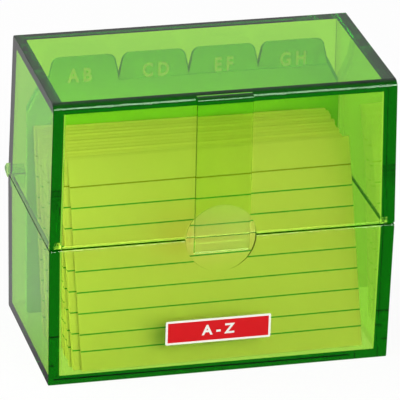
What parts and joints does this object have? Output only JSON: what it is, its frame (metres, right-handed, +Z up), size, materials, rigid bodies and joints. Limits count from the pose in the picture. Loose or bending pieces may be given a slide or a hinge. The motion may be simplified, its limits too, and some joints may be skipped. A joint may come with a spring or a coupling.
{
  "type": "index card box",
  "caption": "Clear hinged plastic box holding a leaning sheaf of ruled index cards in front of upright tabbed alphabet dividers.",
  "frame": {"origin": "middle of the tray's underside", "axes": "+X along the front to the right, +Y to the hinge at the back, +Z up"},
  "size_m": [0.088, 0.0547, 0.0752],
  "materials": {
    "clear_green": "clear moulded polystyrene, polished",
    "label_paper": "coated sticker, satin",
    "card_paper": "uncoated ruled card",
    "divider_green": "smooth card",
    "divider_dark_green": "smooth card"
  },
  "bodies": {
    "tray": {"tray": "clear_green", "front_label": "label_paper"},
    "lid": {"lid": "clear_green"},
    "front_card": {"front_card": "card_paper"},
    "card_packet_01": {"card_packet_01": "card_paper"},
    "card_packet_02": {"card_packet_02": "card_paper"},
    "card_packet_03": {"card_packet_03": "card_paper"},
    "card_packet_04": {"card_packet_04": "card_paper"},
    "card_packet_05": {"card_packet_05": "card_paper"},
    "card_packet_06": {"card_packet_06": "card_paper"},
    "card_packet_07": {"card_packet_07": "card_paper"},
    "card_packet_08": {"card_packet_08": "card_paper"},
    "card_packet_09": {"card_packet_09": "card_paper"},
    "card_packet_10": {"card_packet_10": "card_paper"},
    "divider_ab": {"divider_ab": "divider_green"},
    "divider_cd": {"divider_cd": "divider_green"},
    "divider_ef": {"divider_ef": "divider_green"},
    "divider_gh": {"divider_gh": "divider_green"},
    "divider_ij": {"divider_ij": "divider_dark_green"},
    "divider_kl": {"divider_kl": "divider_dark_green"},
    "divider_mn": {"divider_mn": "divider_dark_green"},
    "divider_op": {"divider_op": "divider_dark_green"},
    "divider_qr": {"divider_qr": "divider_dark_green"},
    "divider_st": {"divider_st": "divider_dark_green"},
    "divider_uv": {"divider_uv": "divider_dark_green"},
    "divider_wz": {"divider_wz": "divider_dark_green"}
  },
  "joints": [
    {"name": "lid_hinge", "type": "hinge", "parent": "tray", "child": "lid", "pos_m": [0, 0.02633, 0.0369], "axis": [-1, 0, 0], "range_deg": [0, 110]},
    {"name": "card_packet_01_tilt", "type": "hinge", "parent": "tray", "child": "card_packet_01", "pos_m": [0, -0.01905, 0.0021], "axis": [0.9999, 0.0145, 0], "range_deg": [0, 14]},
    {"name": "card_packet_02_tilt", "type": "hinge", "parent": "tray", "child": "card_packet_02", "pos_m": [0, -0.01699, 0.0021], "axis": [0.9999, 0.0115, 0], "range_deg": [0, 13.16]},
    {"name": "card_packet_03_tilt", "type": "hinge", "parent": "tray", "child": "card_packet_03", "pos_m": [0, -0.01494, 0.0021], "axis": [1, 0.0086, 0], "range_deg": [0, 12.32]},
    {"name": "card_packet_04_tilt", "type": "hinge", "parent": "tray", "child": "card_packet_04", "pos_m": [0, -0.01289, 0.0021], "axis": [1, 0.0056, 0], "range_deg": [0, 11.48]},
    {"name": "card_packet_05_tilt", "type": "hinge", "parent": "tray", "child": "card_packet_05", "pos_m": [0, -0.01084, 0.0021], "axis": [1, 0.0026, 0], "range_deg": [0, 10.64]},
    {"name": "card_packet_06_tilt", "type": "hinge", "parent": "tray", "child": "card_packet_06", "pos_m": [0, -0.0088, 0.0021], "axis": [1, -0.0003, 0], "range_deg": [0, 9.8]},
    {"name": "card_packet_07_tilt", "type": "hinge", "parent": "tray", "child": "card_packet_07", "pos_m": [0, -0.00676, 0.0021], "axis": [1, -0.0033, 0], "range_deg": [0, 8.96]},
    {"name": "card_packet_08_tilt", "type": "hinge", "parent": "tray", "child": "card_packet_08", "pos_m": [0, -0.00472, 0.0021], "axis": [1, -0.0063, 0], "range_deg": [0, 8.12]},
    {"name": "card_packet_09_tilt", "type": "hinge", "parent": "tray", "child": "card_packet_09", "pos_m": [0, -0.00268, 0.0021], "axis": [1, -0.0093, 0], "range_deg": [0, 7.28]},
    {"name": "card_packet_10_tilt", "type": "hinge", "parent": "tray", "child": "card_packet_10", "pos_m": [0, -0.00066, 0.0021], "axis": [0.9999, -0.0122, 0], "range_deg": [0, 6.44]},
    {"name": "front_card_tilt", "type": "hinge", "parent": "tray", "child": "front_card", "pos_m": [0, -0.02, 0.0021], "axis": [0.9998, 0.0175, 0], "range_deg": [0, 14.56]},
    {"name": "divider_ab_tilt", "type": "hinge", "parent": "tray", "child": "divider_ab", "pos_m": [0, 0.01429, 0.0021], "axis": [1, 0, 0], "range_deg": [0, 4.76]},
    {"name": "divider_cd_tilt", "type": "hinge", "parent": "tray", "child": "divider_cd", "pos_m": [0, 0.01463, 0.0021], "axis": [1, 0, 0], "range_deg": [0, 4.42]},
    {"name": "divider_ef_tilt", "type": "hinge", "parent": "tray", "child": "divider_ef", "pos_m": [0, 0.01497, 0.0021], "axis": [1, 0, 0], "range_deg": [0, 4.09]},
    {"name": "divider_gh_tilt", "type": "hinge", "parent": "tray", "child": "divider_gh", "pos_m": [0, 0.01531, 0.0021], "axis": [1, 0, 0], "range_deg": [0, 3.75]},
    {"name": "divider_ij_tilt", "type": "hinge", "parent": "tray", "child": "divider_ij", "pos_m": [0, 0.01565, 0.0021], "axis": [1, 0, 0], "range_deg": [0, 3.42]},
    {"name": "divider_kl_tilt", "type": "hinge", "parent": "tray", "child": "divider_kl", "pos_m": [0, 0.01599, 0.0021], "axis": [1, 0, 0], "range_deg": [0, 3.08]},
    {"name": "divider_mn_tilt", "type": "hinge", "parent": "tray", "child": "divider_mn", "pos_m": [0, 0.01633, 0.0021], "axis": [1, 0, 0], "range_deg": [0, 2.74]},
    {"name": "divider_op_tilt", "type": "hinge", "parent": "tray", "child": "divider_op", "pos_m": [0, 0.01667, 0.0021], "axis": [1, 0, 0], "range_deg": [0, 2.41]},
    {"name": "divider_qr_tilt", "type": "hinge", "parent": "tray", "child": "divider_qr", "pos_m": [0, 0.01701, 0.0021], "axis": [1, 0, 0], "range_deg": [0, 2.07]},
    {"name": "divider_st_tilt", "type": "hinge", "parent": "tray", "child": "divider_st", "pos_m": [0, 0.01735, 0.0021], "axis": [1, 0, 0], "range_deg": [0, 1.74]},
    {"name": "divider_uv_tilt", "type": "hinge", "parent": "tray", "child": "divider_uv", "pos_m": [0, 0.01769, 0.0021], "axis": [1, 0, 0], "range_deg": [0, 1.4]},
    {"name": "divider_wz_tilt", "type": "hinge", "parent": "tray", "child": "divider_wz", "pos_m": [0, 0.01803, 0.0021], "axis": [1, 0, 0], "range_deg": [0, 1.06]}
  ],
  "couplings": [
    {"joint": "card_packet_02_tilt", "follows": "card_packet_01_tilt", "ratio": 0.94},
    {"joint": "card_packet_03_tilt", "follows": "card_packet_01_tilt", "ratio": 0.88},
    {"joint": "card_packet_04_tilt", "follows": "card_packet_01_tilt", "ratio": 0.82},
    {"joint": "card_packet_05_tilt", "follows": "card_packet_01_tilt", "ratio": 0.76},
    {"joint": "card_packet_06_tilt", "follows": "card_packet_01_tilt", "ratio": 0.7},
    {"joint": "card_packet_07_tilt", "follows": "card_packet_01_tilt", "ratio": 0.64},
    {"joint": "card_packet_08_tilt", "follows": "card_packet_01_tilt", "ratio": 0.58},
    {"joint": "card_packet_09_tilt", "follows": "card_packet_01_tilt", "ratio": 0.52},
    {"joint": "card_packet_10_tilt", "follows": "card_packet_01_tilt", "ratio": 0.46},
    {"joint": "front_card_tilt", "follows": "card_packet_01_tilt", "ratio": 1.04},
    {"joint": "divider_ab_tilt", "follows": "card_packet_01_tilt", "ratio": 0.34},
    {"joint": "divider_cd_tilt", "follows": "card_packet_01_tilt", "ratio": 0.316},
    {"joint": "divider_ef_tilt", "follows": "card_packet_01_tilt", "ratio": 0.292},
    {"joint": "divider_gh_tilt", "follows": "card_packet_01_tilt", "ratio": 0.268},
    {"joint": "divider_ij_tilt", "follows": "card_packet_01_tilt", "ratio": 0.244},
    {"joint": "divider_kl_tilt", "follows": "card_packet_01_tilt", "ratio": 0.22},
    {"joint": "divider_mn_tilt", "follows": "card_packet_01_tilt", "ratio": 0.196},
    {"joint": "divider_op_tilt", "follows": "card_packet_01_tilt", "ratio": 0.172},
    {"joint": "divider_qr_tilt", "follows": "card_packet_01_tilt", "ratio": 0.148},
    {"joint": "divider_st_tilt", "follows": "card_packet_01_tilt", "ratio": 0.124},
    {"joint": "divider_uv_tilt", "follows": "card_packet_01_tilt", "ratio": 0.1},
    {"joint": "divider_wz_tilt", "follows": "card_packet_01_tilt", "ratio": 0.076}
  ]
}
